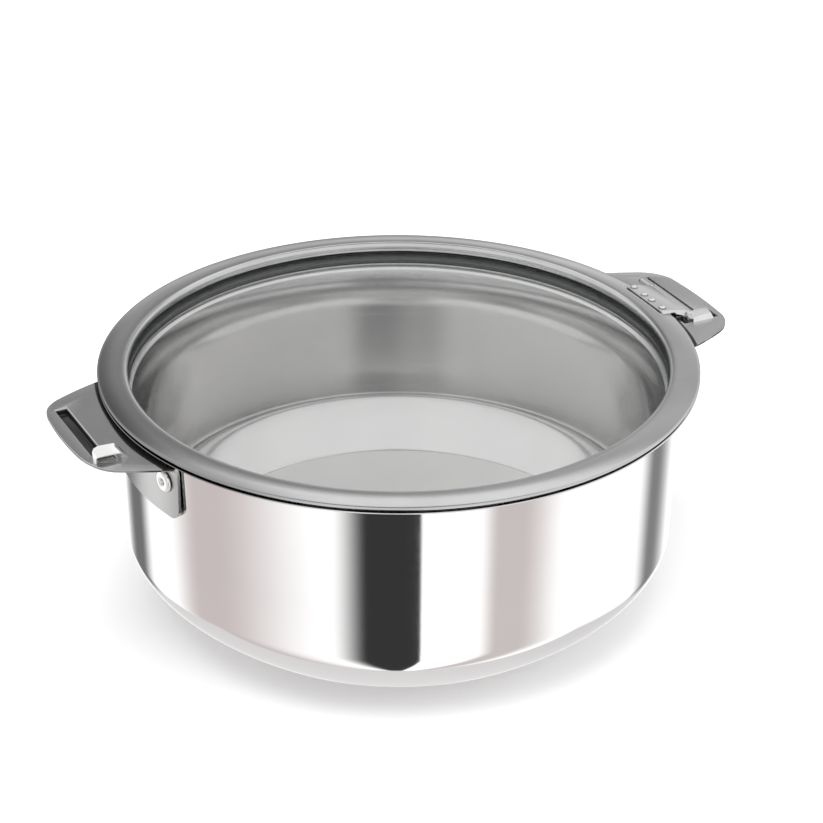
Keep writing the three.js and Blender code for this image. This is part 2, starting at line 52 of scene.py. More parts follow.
# Shader helpers
class Signal:
    # One socket; arithmetic on it adds Math nodes
    def __init__(self, finish, socket):
        self.finish = finish
        self.socket = socket

    def __add__(self, other):
        return self.finish.math("ADD", self, other)

    def __sub__(self, other):
        return self.finish.math("SUBTRACT", self, other)

    def __rsub__(self, other):
        return self.finish.math("SUBTRACT", other, self)

    def __mul__(self, other):
        return self.finish.math("MULTIPLY", self, other)

    def __pow__(self, other):
        return self.finish.math("POWER", self, other)

    def __neg__(self):
        return self.finish.math("MULTIPLY", self, -1)

    __radd__ = __add__
    __rmul__ = __mul__


class Finish:
    # A material and the few ways its nodes are made
    def __init__(self, name):
        self.material = bpy.data.materials.new(name)
        self.material.use_nodes = True
        self.tree = self.material.node_tree
        self.shader = self.tree.nodes["Principled BSDF"]
        self.output = self.tree.nodes["Material Output"]

    def node(self, kind, settings={}, values={}):
        made = self.tree.nodes.new(kind)
        for key, value in settings.items():
            setattr(made, key, value)
        for key, value in values.items():
            self.feed(made.inputs[key], value)
        return made

    def feed(self, socket, value):
        if isinstance(value, Signal):
            self.tree.links.new(value.socket, socket)
        else:
            socket.default_value = value

    def signal(self, kind, settings={}, values={}, output=0):
        return Signal(self, self.node(kind, settings, values).outputs[output])

    def math(self, operation, first, second=0.0):
        return self.signal("ShaderNodeMath", {"operation": operation}, {0: first, 1: second})

    def place(self, scale=(1, 1, 1)):
        # Object coordinates in metres, stretched
        coordinates = self.signal("ShaderNodeTexCoord", output="Object")
        return self.signal("ShaderNodeMapping", {}, {"Vector": coordinates, "Scale": scale})

    def axes(self, vector):
        parts = self.node("ShaderNodeSeparateXYZ", {}, {"Vector": vector})
        return [Signal(self, socket) for socket in parts.outputs]

    def facing(self):
        # 1 where the surface looks up, 0 where it stands, -1 where it looks down
        return self.axes(self.signal("ShaderNodeTexCoord", output="Normal"))[2]

    def noise(self, vector, scale=1.0, detail=3.0, roughness=0.55):
        values = {"Vector": vector, "Scale": scale, "Detail": detail, "Roughness": roughness}
        return self.signal("ShaderNodeTexNoise", {}, values)

    def ramp(self, value, low, high):
        # Rises softly from 0 to 1
        values = {"Value": value, "From Min": low, "From Max": high}
        return self.signal("ShaderNodeMapRange", {"interpolation_type": "SMOOTHSTEP"}, values)

    def span(self, value, limits):
        # The same between two places in millimetres
        low, high = limits
        return self.ramp(value, low * mm, high * mm)

    def mix(self, share, first, second):
        made = self.node("ShaderNodeMix", {"data_type": "RGBA"})
        self.feed(made.inputs["Factor"], share)
        colours = [socket for socket in made.inputs if socket.type == "RGBA"]
        for socket, value in zip(colours, (first, second)):
            self.feed(socket, value if isinstance(value, Signal) else (*value, 1.0))
        return Signal(self, [socket for socket in made.outputs if socket.type == "RGBA"][0])

    def bump(self, height, distance, strength=1.0):
        values = {"Height": height, "Distance": distance, "Strength": strength}
        return self.signal("ShaderNodeBump", {}, values)

    def surface(self, **values):
        for key, value in values.items():
            self.feed(self.shader.inputs[key.replace("_", " ")], value)
        return self.material


# What all steels share: how fine the noises are, and where they show as scuffs and wear
polish = {
    "lineDetail": 4.0, "lineBreak": 0.6, "cloudDetail": 3.0, "speckDetail": 2.0,
    "scuffLines": (0.56, 0.74), "scuffCloud": (0.5, 0.62), "wornCloud": (0.35, 0.75),
}


def steel(name, look, grain):
    # grain(finish) gives the coordinates along which the polishing lines are stretched
    finish = Finish(name)
    lines = finish.noise(grain(finish), 1.0, polish["lineDetail"], polish["lineBreak"])
    cloud = finish.noise(finish.place(), look["cloudScale"], polish["cloudDetail"])
    speck = finish.noise(finish.place(), look["speckScale"], polish["speckDetail"])
    scuff = finish.ramp(lines, *polish["scuffLines"]) * finish.ramp(cloud, *polish["scuffCloud"])
    wear = finish.ramp(cloud, *polish["wornCloud"])
    tone = finish.mix(wear, look["tint"], look["dullTint"])
    tone = finish.mix(scuff * look["scuffTint"], tone, look["brightTint"])
    rough = look["roughness"] + (lines - 0.5) * look["lineRoughness"] + wear * look["cloudRoughness"]
    rough = rough + scuff * look["scuffRoughness"]
    relief = lines * look["lineDepth"] + speck * look["speckDepth"]
    metal = look.get("metal", 1.0)
    # Painted shade: where the look's mask says, the tone turns dark and less metallic
    if "paintedShade" in look:
        share = look["paintedShade"](finish)
        tone = finish.mix(share, tone, look["paintedShadeTint"])
        metal = 1 - share * (1 - look["paintedShadeMetal"])
    if "rough" in look:
        rough = rough + look["rough"](finish) * look["roughShare"]
    # Painted shade: the tone turns to the darker low tint towards the bottom, under the grip's plate
    if "low" in look:
        height = finish.axes(finish.place())[2]
        tone = finish.mix(finish.span(height, look["paintedShadeBelow"]), look["low"], tone)
    return finish.surface(Base_Color=tone, Roughness=rough, Metallic=metal,
                          Normal=finish.bump(relief, mm))


def straightGrain(*scale):
    # The lines run along the axis with the smallest value
    return lambda finish: finish.place(scale)


ringGrain = {"outward": 1400, "round": 9, "up": 300}
roundTheWall = straightGrain(7, 7, 1500)
alongTheGrip = straightGrain(1500, 40, 600)
acrossTheLeaf = straightGrain(60, 1900, 400)
roundTheRivet = straightGrain(900, 900, 900)


def roundTheRing(finish):
    x, y, z = finish.axes(finish.place())
    radius = (x * x + y * y) ** 0.5
    turn = y * ringGrain["round"] + z * ringGrain["up"]
    values = {"X": radius * ringGrain["outward"], "Y": x * ringGrain["round"], "Z": turn}
    return finish.signal("ShaderNodeCombineXYZ", {}, values)


# Shares of a finish that get painted shade, from 0 to 1
def leftShade(reach, share):
    # Painted shade: the edge darkens outwards at the left, beside the grip
    def shade(finish):
        x, y, z = finish.axes(finish.place())
        return finish.span(-x, (70, 108)) * finish.span((x * x + y * y) ** 0.5, reach) * share
    return shade


# Where the painted shade of the grips begins and ends, and how much lighter two places of it are
gripShadePlaces = {
    "rimReach": (122.6, 123.2), "rimDrift": 1.6, "driftWidth": (-22, 12), "bendTop": (95.8, 96.8),
    "channelTop": (96.4, 97.3), "apronTop": (92.5, 94.5), "underside": (-0.7, -0.3),
    "windowInner": (121.5, 122.2), "windowOuter": (126.2, 127.0), "windowWidth": (-13.5, -12.5),
    "windowLight": 0.3, "strapWidth": (16.8, 17.2), "strapReach": (-127, -120), "strapLight": 0.6,
}


def gripPaintedShade(finish):
    # Painted shade in the pressed channels and in the bend beside the rim
    x, y, z = finish.axes(finish.place())
    radius = (x * x + y * y) ** 0.5 + finish.span(y, gripShadePlaces["driftWidth"]) * (gripShadePlaces["rimDrift"] * mm)
    outside = finish.span(radius, gripShadePlaces["rimReach"])
    bend = (1 - outside) * finish.span(z, gripShadePlaces["bendTop"])
    channel = (1 - finish.span(z, gripShadePlaces["channelTop"])) * outside * finish.span(z, gripShadePlaces["apronTop"])
    window = finish.span(x, gripShadePlaces["windowInner"]) * (1 - finish.span(x, gripShadePlaces["windowOuter"]))
    window = window * (1 - finish.span(y, gripShadePlaces["windowWidth"]))
    underStrap = finish.span(-y, gripShadePlaces["strapWidth"]) * (1 - finish.span(x, gripShadePlaces["strapReach"]))
    channel = channel * (1 - window * gripShadePlaces["windowLight"]) * (1 - underStrap * gripShadePlaces["strapLight"])
    return finish.math("MAXIMUM", channel, bend) * finish.ramp(finish.facing(), *gripShadePlaces["underside"])


def plateEdge(finish):
    # Cut edges of the grips' plates
    height = finish.axes(finish.place())[2]
    level = finish.math("ABSOLUTE", finish.facing())
    return (1 - finish.ramp(level, 0.3, 0.7)) * finish.span(height, (95.5, 96.2))


# Painted shade: the level top of the cap is darker than its sloping sides
def paintedTopShade(finish):
    return finish.ramp(finish.facing(), 0.93, 0.975)


leafRivet = {
    "reach": 116.7, "shares": (-0.75, -0.2, 0.2, 0.75), "leafHalf": 14.9, "head": 1.25, "rise": 0.9,
    "shank": 0.9, "tail": 1.4, "tailBottom": 99.1, "tailTop": 99.5, "turns": 32,
    "shadow": (1.2, 2.1), "shadowShare": 0.8,
}


def paintedRivetShadow(finish):
    # Painted soft shadow round the leaf's four rivets
    x, y, z = finish.axes(finish.place())
    across = finish.math("ABSOLUTE", y)
    past = x - leafRivet["reach"] * mm
    shares = [share for share in leafRivet["shares"] if share > 0]
    gaps = [(past * past + (across - share * leafRivet["leafHalf"] * mm) ** 2) ** 0.5 for share in shares]
    nearest = finish.math("MINIMUM", *gaps)
    return (1 - finish.span(nearest, leafRivet["shadow"])) * leafRivet["shadowShare"]


polishedLook = {
    "tint": (0.83, 0.825, 0.82), "dullTint": (0.79, 0.785, 0.785), "brightTint": (0.88, 0.88, 0.88),
    "roughness": 0.055, "lineRoughness": 0.03, "cloudRoughness": 0.02,
    "cloudScale": 14, "speckScale": 260, "scuffTint": 0.25, "scuffRoughness": 0.05,
    "lineDepth": 0.006, "speckDepth": 0.002,
}
satinLook = {
    "tint": (0.66, 0.66, 0.665), "dullTint": (0.60, 0.60, 0.605), "brightTint": (0.78, 0.78, 0.78),
    "roughness": 0.29, "lineRoughness": 0.10, "cloudRoughness": 0.05,
    "cloudScale": 32, "speckScale": 500, "scuffTint": 0.5, "scuffRoughness": -0.06,
    "lineDepth": 0.022, "speckDepth": 0.012,
}
brightLook = {
    "tint": (0.88, 0.875, 0.865), "dullTint": (0.80, 0.80, 0.795), "brightTint": (0.94, 0.94, 0.93),
    "roughness": 0.16, "lineRoughness": 0.06, "cloudRoughness": 0.05,
    "cloudScale": 90, "speckScale": 700, "scuffTint": 0.4, "scuffRoughness": -0.03,
    "lineDepth": 0.012, "speckDepth": 0.01,
}
bowlLook = {
    **polishedLook, "roughness": 0.12, "lineRoughness": 0.05, "speckDepth": 0.0004,
    "paintedShade": leftShade((116.5, 117.5), 0.85), "paintedShadeTint": (0.1, 0.1, 0.1), "paintedShadeMetal": 1,
}
ringLook = {
    **satinLook, "roughness": 0.16, "lineRoughness": 0.06, "cloudRoughness": 0.02, "lineDepth": 0.012,
    "speckDepth": 0.004, "paintedShade": leftShade((112, 119), 0.75), "paintedShadeTint": (0.2, 0.2, 0.203), "paintedShadeMetal": 1,
}
gripLook = {
    **satinLook, "roughness": 0.22, "lineRoughness": 0.07, "rough": plateEdge, "roughShare": 0.4,
    "paintedShade": gripPaintedShade, "paintedShadeTint": (0.028, 0.028, 0.029), "paintedShadeMetal": 0.75,
    # Painted shade on the apron, under the plate
    "low": (0.46, 0.467, 0.46), "paintedShadeBelow": (90.5, 95.5),
}
capLook = {**brightLook, "paintedShade": paintedTopShade, "paintedShadeTint": (0.58, 0.58, 0.583), "paintedShadeMetal": 1}
leafLook = {
    "tint": (0.80, 0.80, 0.80), "dullTint": (0.72, 0.72, 0.725), "brightTint": (0.90, 0.90, 0.89),
    "roughness": 0.28, "lineRoughness": 0.05, "cloudRoughness": 0.03,
    "cloudScale": 40, "speckScale": 600, "scuffTint": 0.2, "scuffRoughness": -0.03,
    "lineDepth": 0.005, "speckDepth": 0.002,
    "paintedShade": paintedRivetShadow, "paintedShadeTint": (0.16, 0.16, 0.16), "paintedShadeMetal": 1,
}

shellSteel = steel("shellSteel", polishedLook, roundTheWall)
bowlSteel = steel("bowlSteel", bowlLook, roundTheRing)
footSteel = steel("footSteel", {**satinLook, "roughness": 0.3}, roundTheRing)
ringSteel = steel("ringSteel", ringLook, roundTheRing)
gripSteel = steel("gripSteel", gripLook, alongTheGrip)
strapSteel = steel("strapSteel", {**brightLook, "metal": 0.4}, alongTheGrip)
capSteel = steel("capSteel", capLook, alongTheGrip)
leafSteel = steel("leafSteel", leafLook, acrossTheLeaf)
pinSteel = steel("pinSteel", brightLook, alongTheGrip)
rivetSteel = steel("rivetSteel", brightLook, roundTheRivet)
retainerSteel = steel("retainerSteel", {**polishedLook, "roughness": 0.1}, roundTheWall)

rubber = {
    "tint": (0.012, 0.012, 0.013), "dustTint": (0.05, 0.048, 0.045), "dustShare": 0.35, "dustScale": 900,
    "bloomScale": 60, "roughness": 0.55, "bloomRoughness": 0.2, "dustDepth": 0.2, "dustRelief": 0.4,
}


def sealRubber():
    finish = Finish("sealRubber")
    dust = finish.ramp(finish.noise(finish.place(), rubber["dustScale"], 4), 0.45, 0.75)
    bloom = finish.noise(finish.place(), rubber["bloomScale"])
    tone = finish.mix(dust * rubber["dustShare"], rubber["tint"], rubber["dustTint"])
    return finish.surface(Base_Color=tone, Roughness=rubber["roughness"] + bloom * rubber["bloomRoughness"],
                          Normal=finish.bump(dust, rubber["dustDepth"] * mm, rubber["dustRelief"]))


foam = {
    "tint": (0.78, 0.70, 0.49), "stainTint": (0.67, 0.58, 0.38), "stainScale": 30, "cellScale": 700.0,
    "roughness": 0.85, "cellRoughness": 0.1, "cellDepth": 0.6, "cellRelief": 0.7,
}


def linerFoam():
    finish = Finish("linerFoam")
    cells = finish.signal("ShaderNodeTexVoronoi", {}, {"Vector": finish.place(), "Scale": foam["cellScale"]})
    stain = finish.ramp(finish.noise(finish.place(), foam["stainScale"], 4), 0.35, 0.7)
    tone = finish.mix(stain, foam["tint"], foam["stainTint"])
    return finish.surface(Base_Color=tone, Roughness=foam["roughness"] + cells * foam["cellRoughness"],
                          Normal=finish.bump(cells, foam["cellDepth"] * mm, foam["cellRelief"]))


glass = {
    "tint": (0.90, 0.95, 0.93), "smearTint": (0.84, 0.88, 0.86), "smearShare": 0.4, "smearScale": 22,
    "roughness": 0.025, "smearRoughness": 0.03, "alpha": 0.045, "smearAlpha": 0.01, "mirrorPower": 5,
}


def paneGlass():
    # Clear pane: it shows what is behind it and mirrors more the flatter it is looked at
    finish = Finish("paneGlass")
    smear = finish.ramp(finish.noise(finish.place(), glass["smearScale"], 5), 0.45, 0.8)
    grazing = finish.signal("ShaderNodeLayerWeight", {}, {"Blend": 0.5}, output=1)
    tone = finish.mix(smear * glass["smearShare"], glass["tint"], glass["smearTint"])
    mirror = grazing ** glass["mirrorPower"] * (1 - glass["alpha"])
    return finish.surface(Base_Color=tone, Roughness=glass["roughness"] + smear * glass["smearRoughness"],
                          Metallic=1.0, Alpha=glass["alpha"] + mirror + smear * glass["smearAlpha"])


sealFinish = sealRubber()
foamFinish = linerFoam()
glassFinish = paneGlass()
print("finishes made:", len(bpy.data.materials))


# Mesh helpers
def curvePoints(start, control, end, steps):
    # Points of a quadratic curve
    points = []
    for i in range(steps + 1):
        t = i / steps
        points.append(tuple(a * (1 - t) ** 2 + 2 * b * t * (1 - t) + c * t * t
                            for a, b, c in zip(start, control, end)))
    return points


def arcPoints(centre, radius, start, end, steps):
    # Angles in degrees, anticlockwise from the outward direction
    angles = [math.radians(start + (end - start) * i / steps) for i in range(steps + 1)]
    return [(centre[0] + radius * math.cos(a), centre[1] + radius * math.sin(a)) for a in angles]


def parallel(points, distance):
    # The same line moved to its left
    moved = []
    for i, point in enumerate(points):
        before = Vector(points[max(i - 1, 0)])
        after = Vector(points[min(i + 1, len(points) - 1)])
        along = (after - before).normalized()
        moved.append((point[0] - along.y * distance, point[1] + along.x * distance))
    return moved


def wire(points, closed=False):
    # Profile in the XZ plane: first value outward, second value up
    bm = bmesh.new()
    verts = [bm.verts.new((x * mm, 0, z * mm)) for x, z in points]
    for first, second in zip(verts, verts[1:] + verts[:1] if closed else verts[1:]):
        bm.edges.new((first, second))
    return bm


def spin(bm, steps, angle=fullTurn, start=0.0):
    if start:
        bmesh.ops.rotate(bm, verts=bm.verts, cent=(0, 0, 0), matrix=Matrix.Rotation(start, 3, "Z"))
    whole = abs(angle - fullTurn) < 1e-6
    bmesh.ops.spin(bm, geom=bm.verts[:] + bm.edges[:], cent=(0, 0, 0), axis=(0, 0, 1), dvec=(0, 0, 0),
                   angle=angle, steps=steps, use_merge=whole)
    bmesh.ops.remove_doubles(bm, verts=bm.verts, dist=1e-6)
    bmesh.ops.recalc_face_normals(bm, faces=bm.faces)
    return bm


def drawnVerts(drawn):
    return [item for item in drawn["geom"] if isinstance(item, bmesh.types.BMVert)]


def flatBar(points, start, end):
    # Closed outline in the XZ plane, drawn out along Y
    bm = wire(points, closed=True)
    face = bmesh.ops.contextual_create(bm, geom=bm.edges[:])["faces"]
    moved = drawnVerts(bmesh.ops.extrude_face_region(bm, geom=face))
    bmesh.ops.translate(bm, verts=bm.verts, vec=(0, start * mm, 0))
    bmesh.ops.translate(bm, verts=moved, vec=(0, (end - start) * mm, 0))
    bmesh.ops.recalc_face_normals(bm, faces=bm.faces)
    return bm


def strip(points, start, end, steps=1):
    # Open profile in the XZ plane, drawn out along Y to a sheet
    bm = wire(points)
    bmesh.ops.translate(bm, verts=bm.verts, vec=(0, start * mm, 0))
    row = bm.edges[:]
    for i in range(steps):
        drawn = bmesh.ops.extrude_edge_only(bm, edges=row)
        moved = drawnVerts(drawn)
        row = [item for item in drawn["geom"] if isinstance(item, bmesh.types.BMEdge)
               and all(v in moved for v in item.verts)]
        bmesh.ops.translate(bm, verts=moved, vec=(0, (end - start) * mm / steps, 0))
    bmesh.ops.recalc_face_normals(bm, faces=bm.faces)
    return bm


def faceUp(bm):
    # Turns a sheet so that most of it looks up
    if sum(f.normal.z * f.calc_area() for f in bm.faces) < 0:
        bmesh.ops.reverse_faces(bm, faces=bm.faces)
    return bm


def trim(bm, point, outward, only=lambda face: True, clear=True):
    # Cuts the faces that only() picks along a plane, and clears what lies outside
    picked = [f for f in bm.faces if only(f)]
    geometry = set(picked)
    for face in picked:
        geometry.update(face.edges)
        geometry.update(face.verts)
    bmesh.ops.bisect_plane(bm, geom=list(geometry), dist=1e-7, plane_co=Vector(point) * mm,
                           plane_no=Vector(outward).normalized(), clear_outer=clear)


def rollOver(bm, picked, offset, segments):
    bmesh.ops.bevel(bm, geom=picked, affect="EDGES", offset=offset * mm, offset_type="OFFSET",
                    segments=segments, profile=0.5, material=-1, clamp_overlap=True)


pressing = {"levelBand": 0.2, "flatAngle": 0.3, "rimSteps": 4, "floorRoll": 0.5, "floorSteps": 3}


def pressChannel(bm, openings, height, depth, roll):
    # Rectangles of a level plate, each a reach and a width, sunk to a floor; their upper edges rolled over
    level = lambda face: abs(face.calc_center_median().z - height * mm) < pressing["levelBand"] * mm
    for reaches, widths in openings:
        for x in reaches:
            trim(bm, (x, 0, 0), (1, 0, 0), level, clear=False)
        for y in widths:
            trim(bm, (0, y, 0), (0, 1, 0), level, clear=False)
    inside = []
    for face in bm.faces:
        middle = face.calc_center_median() / mm
        held = [x[0] < middle.x < x[1] and y[0] < middle.y < y[1] for x, y in openings]
        if level(face) and any(held):
            inside.append(face)
    sunk = drawnVerts(bmesh.ops.extrude_face_region(bm, geom=inside))
    bmesh.ops.delete(bm, geom=[f for f in inside if f.is_valid], context="FACES")
    bmesh.ops.translate(bm, verts=sunk, vec=(0, 0, -depth * mm))
    faceUp(bm)
    flat = math.radians(pressing["flatAngle"])
    bmesh.ops.dissolve_limit(bm, angle_limit=flat, verts=bm.verts, edges=bm.edges)
    upper = (height, roll, pressing["rimSteps"])
    lower = (height - depth, pressing["floorRoll"], pressing["floorSteps"])
    for place, offset, segments in (upper, lower):
        rim = [e for e in bm.edges if len(e.link_faces) == 2 and e.calc_face_angle() > 1
               and all(abs(v.co.z - place * mm) < 1e-6 for v in e.verts)]
        rollOver(bm, rim, offset, segments)


def modifier(piece, kind, **values):
    made = piece.modifiers.new(kind.lower(), kind)
    for key, value in values.items():
        setattr(made, key, value)


def wall(piece, thickness):
    # Sheet that grows against its normals
    modifier(piece, "SOLIDIFY", thickness=thickness * mm, offset=-1.0, use_even_offset=True)


def edges(piece, width, segments=2):
    # Rounds what is sharper than 38 degrees
    modifier(piece, "BEVEL", width=width * mm, segments=segments, limit_method="ANGLE",
             angle_limit=math.radians(38), harden_normals=True)


def makePiece(name, bm, finish, body, slot, *nodes, sharp=None):
    mesh = bpy.data.meshes.new(name)
    bm.to_mesh(mesh)
    bm.free()
    mesh.materials.append(finish)
    mesh.shade_smooth()
    if sharp:
        mesh.set_sharp_from_angle(angle=math.radians(sharp))
    piece = bpy.data.objects.new(name, mesh)
    scene.collection.objects.link(piece)
    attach(piece, body)
    if nodes:
        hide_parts(*nodes)
    return piece


# Pot
pot = {
    "rimRadius": 120, "mouthRadius": 110.5, "bowlRadius": 106.5, "wallRadius": 112.6, "turnRadius": 111.4,
    "turnHeight": 29.7, "turnControl": 19.3, "footEdge": 85.8, "footChamfer": 0.9, "footWidth": 6.5,
    "shellTop": 97.5, "flangeFace": 98.8, "flangeThickness": 1.0, "bowlFloor": 8, "ledgeHeight": 91.3,
    "ledgeFall": 1.4, "sheet": 0.8, "turns": 240, "shellBend": 26, "bowlBend": 24,
    "wallSteps": (0.04, 0.5, 0.97, 1),  # shares of the wall's rise
    "floorWidth": 40, "floorLead": 2.4,  # level floor, then a soft start of its turn
    # Rolled edge of the flange, outward and up from its upper corner
    "hem": [(-4.5, 0), (-2, -0.28), (-0.4, -0.35), (-0.1, -0.45), (0, -0.62), (-0.1, -0.8), (-0.4, -0.9)],
    "hemLength": 2,
}


def bellyLine(steps):
    foot = (pot["footEdge"] + pot["footChamfer"], pot["footChamfer"])
    control = (pot["turnRadius"], pot["turnControl"])
    return curvePoints(foot, control, (pot["turnRadius"], pot["turnHeight"]), steps)


def potShell():
    profile = [(pot["footEdge"] - pot["footWidth"], 0), (pot["footEdge"] - 0.4, 0)]
    profile += bellyLine(pot["shellBend"])
    rise = pot["shellTop"] - pot["turnHeight"]
    for share in pot["wallSteps"]:
        profile.append((pot["turnRadius"] + share * (pot["wallRadius"] - pot["turnRadius"]),
                        pot["turnHeight"] + share * rise))
    bm = spin(wire(profile), pot["turns"])
    outward = sum(f.normal.dot(f.calc_center_median() * Vector((1, 1, 0))) for f in bm.faces)
    if outward < 0:
        bmesh.ops.reverse_faces(bm, faces=bm.faces)
    piece = makePiece("potShell", bm, shellSteel, "pot", "shell_steel", "outer_shell")
    wall(piece, pot["sheet"])
    edges(piece, 0.15)


def foodBowl():
    bowl, mouth, floor, sheet = pot["bowlRadius"], pot["mouthRadius"], pot["bowlFloor"], pot["sheet"]
    low, high = pot["ledgeHeight"] - pot["ledgeFall"], pot["ledgeHeight"]
    rim, top = pot["rimRadius"], pot["flangeFace"]
    under = top - pot["flangeThickness"]
    turn = parallel(bellyLine(pot["bowlBend"]), pot["turnRadius"] - bowl)
    turn = [point for point in turn if point[1] > floor + 0.3]
    inside = [(0, floor), (pot["floorWidth"], floor), (turn[0][0] - pot["floorLead"], floor)]
    inside += turn
    inside += [(bowl, low - 20), (bowl, low - 0.4), (bowl + 0.3, low)]
    inside += [(mouth - 0.4, high - 0.1), (mouth, high + 0.4)]
    inside += [(mouth, top - 0.5), (mouth + 0.2, top - 0.1), (mouth + 0.6, top)]
    hem = [(rim + outward, top + up) for outward, up in pot["hem"]]
    hem += [(rim - pot["hemLength"], under), (mouth + sheet + 0.3, under)]
    outside = parallel(inside, -sheet)
    back = [point for point in reversed(outside) if point[1] < under - 0.3 and point[0] > 0]
    bm = spin(wire(inside + hem + back + [(0, floor - sheet)]), pot["turns"])
    makePiece("foodBowl", bm, bowlSteel, "pot", "bowl_steel", "inner_bowl", sharp=50)


def discOutline(radius, bottom, top, chamfer):
    outline = [(0, bottom), (radius - chamfer, bottom), (radius, bottom + chamfer)]
    return outline + [(radius, top - chamfer), (radius - chamfer, top), (0, top)]


disc = {
    "bottom": 1.1, "rise": 0.25, "riseRadius": 46, "stepRadius": 50, "lap": 3.5, "chamfer": 0.15,
    "turns": 160,
}


def footDisc():
    bottom, raised = disc["bottom"], disc["bottom"] + disc["rise"]
    radius = pot["footEdge"] - pot["footWidth"] + disc["lap"]
    profile = [(0, raised), (disc["riseRadius"], raised), (disc["stepRadius"], bottom)]
    profile += discOutline(radius, bottom, bottom + pot["sheet"], disc["chamfer"])[1:]
    bm = spin(wire(profile), disc["turns"])
    makePiece("footDisc", bm, footSteel, "pot", "base_steel", "base_disc", sharp=50)


potShell()
foodBowl()
footDisc()
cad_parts["insulation"].data.materials.clear()
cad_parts["insulation"].data.materials.append(foamFinish)
print("pot made")


# Lid
lid = {
    "top": [(108, 99.8), (108.1, 100.4), (108.5, 101.0), (109.1, 101.35), (109.8, 101.5), (111.4, 101.55),
            (114.9, 101.1), (118.9, 100.55), (119.6, 100.35), (120, 100.0)],
    "under": [(120, 99.75), (119.7, 99.6), (118.9, 99.65), (115, 100.25), (111.4, 100.75), (109.6, 100.5),
              (108.95, 100.0), (108.8, 99.2), (108.8, 97.7), (108.7, 97.6), (108.1, 97.6), (108, 97.7)],
    "turns": 288, "corner": 0.1,
}


def lidBand():
    bm = spin(wire(lid["top"] + lid["under"], closed=True), lid["turns"])
    makePiece("lidBand", bm, ringSteel, "lid", "ring_steel", "lid_ring")


retainer = {
    "inner": 107.4, "wallInner": 109.6, "wallOuter": 110.2, "outer": 113.6,
    "bottom": 91.6, "footTop": 92.2, "seat": 99.1, "top": 100.1,
}


def paneRetainer():
    # Foot under the pane, wall, and the ring that lies on the flange
    r, corner = retainer, lid["corner"]
    foot = [(r["inner"], r["bottom"] + corner), (r["inner"] + corner, r["bottom"])]
    foot += [(r["wallOuter"] - 0.3, r["bottom"]), (r["wallOuter"] - 0.05, r["bottom"] + 0.15)]
    foot.append((r["wallOuter"], r["bottom"] + 0.4))
    ring = [(r["wallOuter"], r["seat"] - 0.3), (r["wallOuter"] + 0.25, r["seat"])]
    ring += [(r["outer"] - corner, r["seat"]), (r["outer"], r["seat"] + corner)]
    ring += [(r["outer"], r["top"] - corner), (r["outer"] - corner, r["top"])]
    ring += [(r["wallInner"] + 0.3, r["top"]), (r["wallInner"] + 0.05, r["top"] - 0.15)]
    ring.append((r["wallInner"], r["top"] - 0.5))
    back = [(r["wallInner"], r["footTop"] + corner), (r["wallInner"] - corner, r["footTop"])]
    back += [(r["inner"] + corner, r["footTop"]), (r["inner"], r["footTop"] - corner)]
    bm = spin(wire(foot + ring + back, closed=True), lid["turns"])
    makePiece("paneRetainer", bm, retainerSteel, "lid", "bowl_steel", "lid_retainer", sharp=50)


seal = {
    "inner": 107.6, "wallInner": 108.8, "outer": 109.3, "bottom": 92.5, "footTop": 93.3, "lipBottom": 96.9,
    "top": 97.3,
}


def paneSeal():
    # Foot under the pane, wall round it and a thin lip over it
    s, corner = seal, lid["corner"]
    profile = [(s["inner"] + corner, s["bottom"]), (s["outer"] - corner, s["bottom"])]
    profile += [(s["outer"], s["bottom"] + corner), (s["outer"], s["top"] - corner)]
    profile += [(s["outer"] - corner, s["top"]), (s["inner"] + 0.2, s["top"]), (s["inner"], s["top"] - 0.15)]
    profile += [(s["inner"] + 0.05, s["lipBottom"] + 0.05), (s["wallInner"], s["lipBottom"])]
    profile += [(s["wallInner"], s["footTop"]), (s["inner"] + corner, s["footTop"])]
    profile += [(s["inner"], s["footTop"] - corner), (s["inner"], s["bottom"] + corner)]
    bm = spin(wire(profile, closed=True), lid["turns"])
    makePiece("paneSeal", bm, sealFinish, "lid", "seal_rubber", "glass_seal", sharp=50)


pane = {"radius": 108.5, "bottom": 93.6, "top": 96.6, "chamfer": 0.4, "turns": 160}


def lidPane():
    profile = discOutline(pane["radius"], pane["bottom"], pane["top"], pane["chamfer"])
    bm = spin(wire(profile), pane["turns"])
    makePiece("lidPane", bm, glassFinish, "lid", "lid_glass", "lid_glass", sharp=30)


lidBand()
paneRetainer()
paneSeal()
lidPane()
print("lid made")


# Grips
grip = {
    "thickness": 1.2, "top": 97.5, "apronInner": 112.9, "length": 29.1, "halfWidth": 39.4, "bendRadius": 8.1,
    "apronHalfWidth": 32.5, "apronBottom": 70, "apronCorner": 5, "wingFall": 3,
    # The plate's edge, as shares of its length and half width: root, control, shoulder, control, tip
    "side": [(0, 1), (0.313, 0.944), (0.622, 0.838), (0.918, 0.746), (0.966, 0.508)], "tipBow": 1.034,
    "rightNear": [(0, 1), (0.313, 0.925), (0.622, 0.81), (0.918, 0.71), (0.966, 0.508)],
    "leftNear": [(0, 1), (0.313, 0.90), (0.622, 0.785), (0.89, 0.685), (0.957, 0.42)],
    "sideSteps": 7, "shoulderSteps": 9, "tipSteps": 12,
    "cornerAngles": (12, 30, 48, 66, 84), "bendSteps": 14, "bendLead": 3, "overrun": 6, "spread": 24,
    "spreadSteps": 64,
    # Soft fall of the plate's long edges, past a line from the near end to the root
    "creaseNear": (129.2, 26.6), "creaseRoot": (116.2, 33.9), "rollSlope": 0.08, "rollCuts": (0, 0.8),
    "rollStart": 0.1, "rollLead": 0.4, "levelBand": 0.3,
}


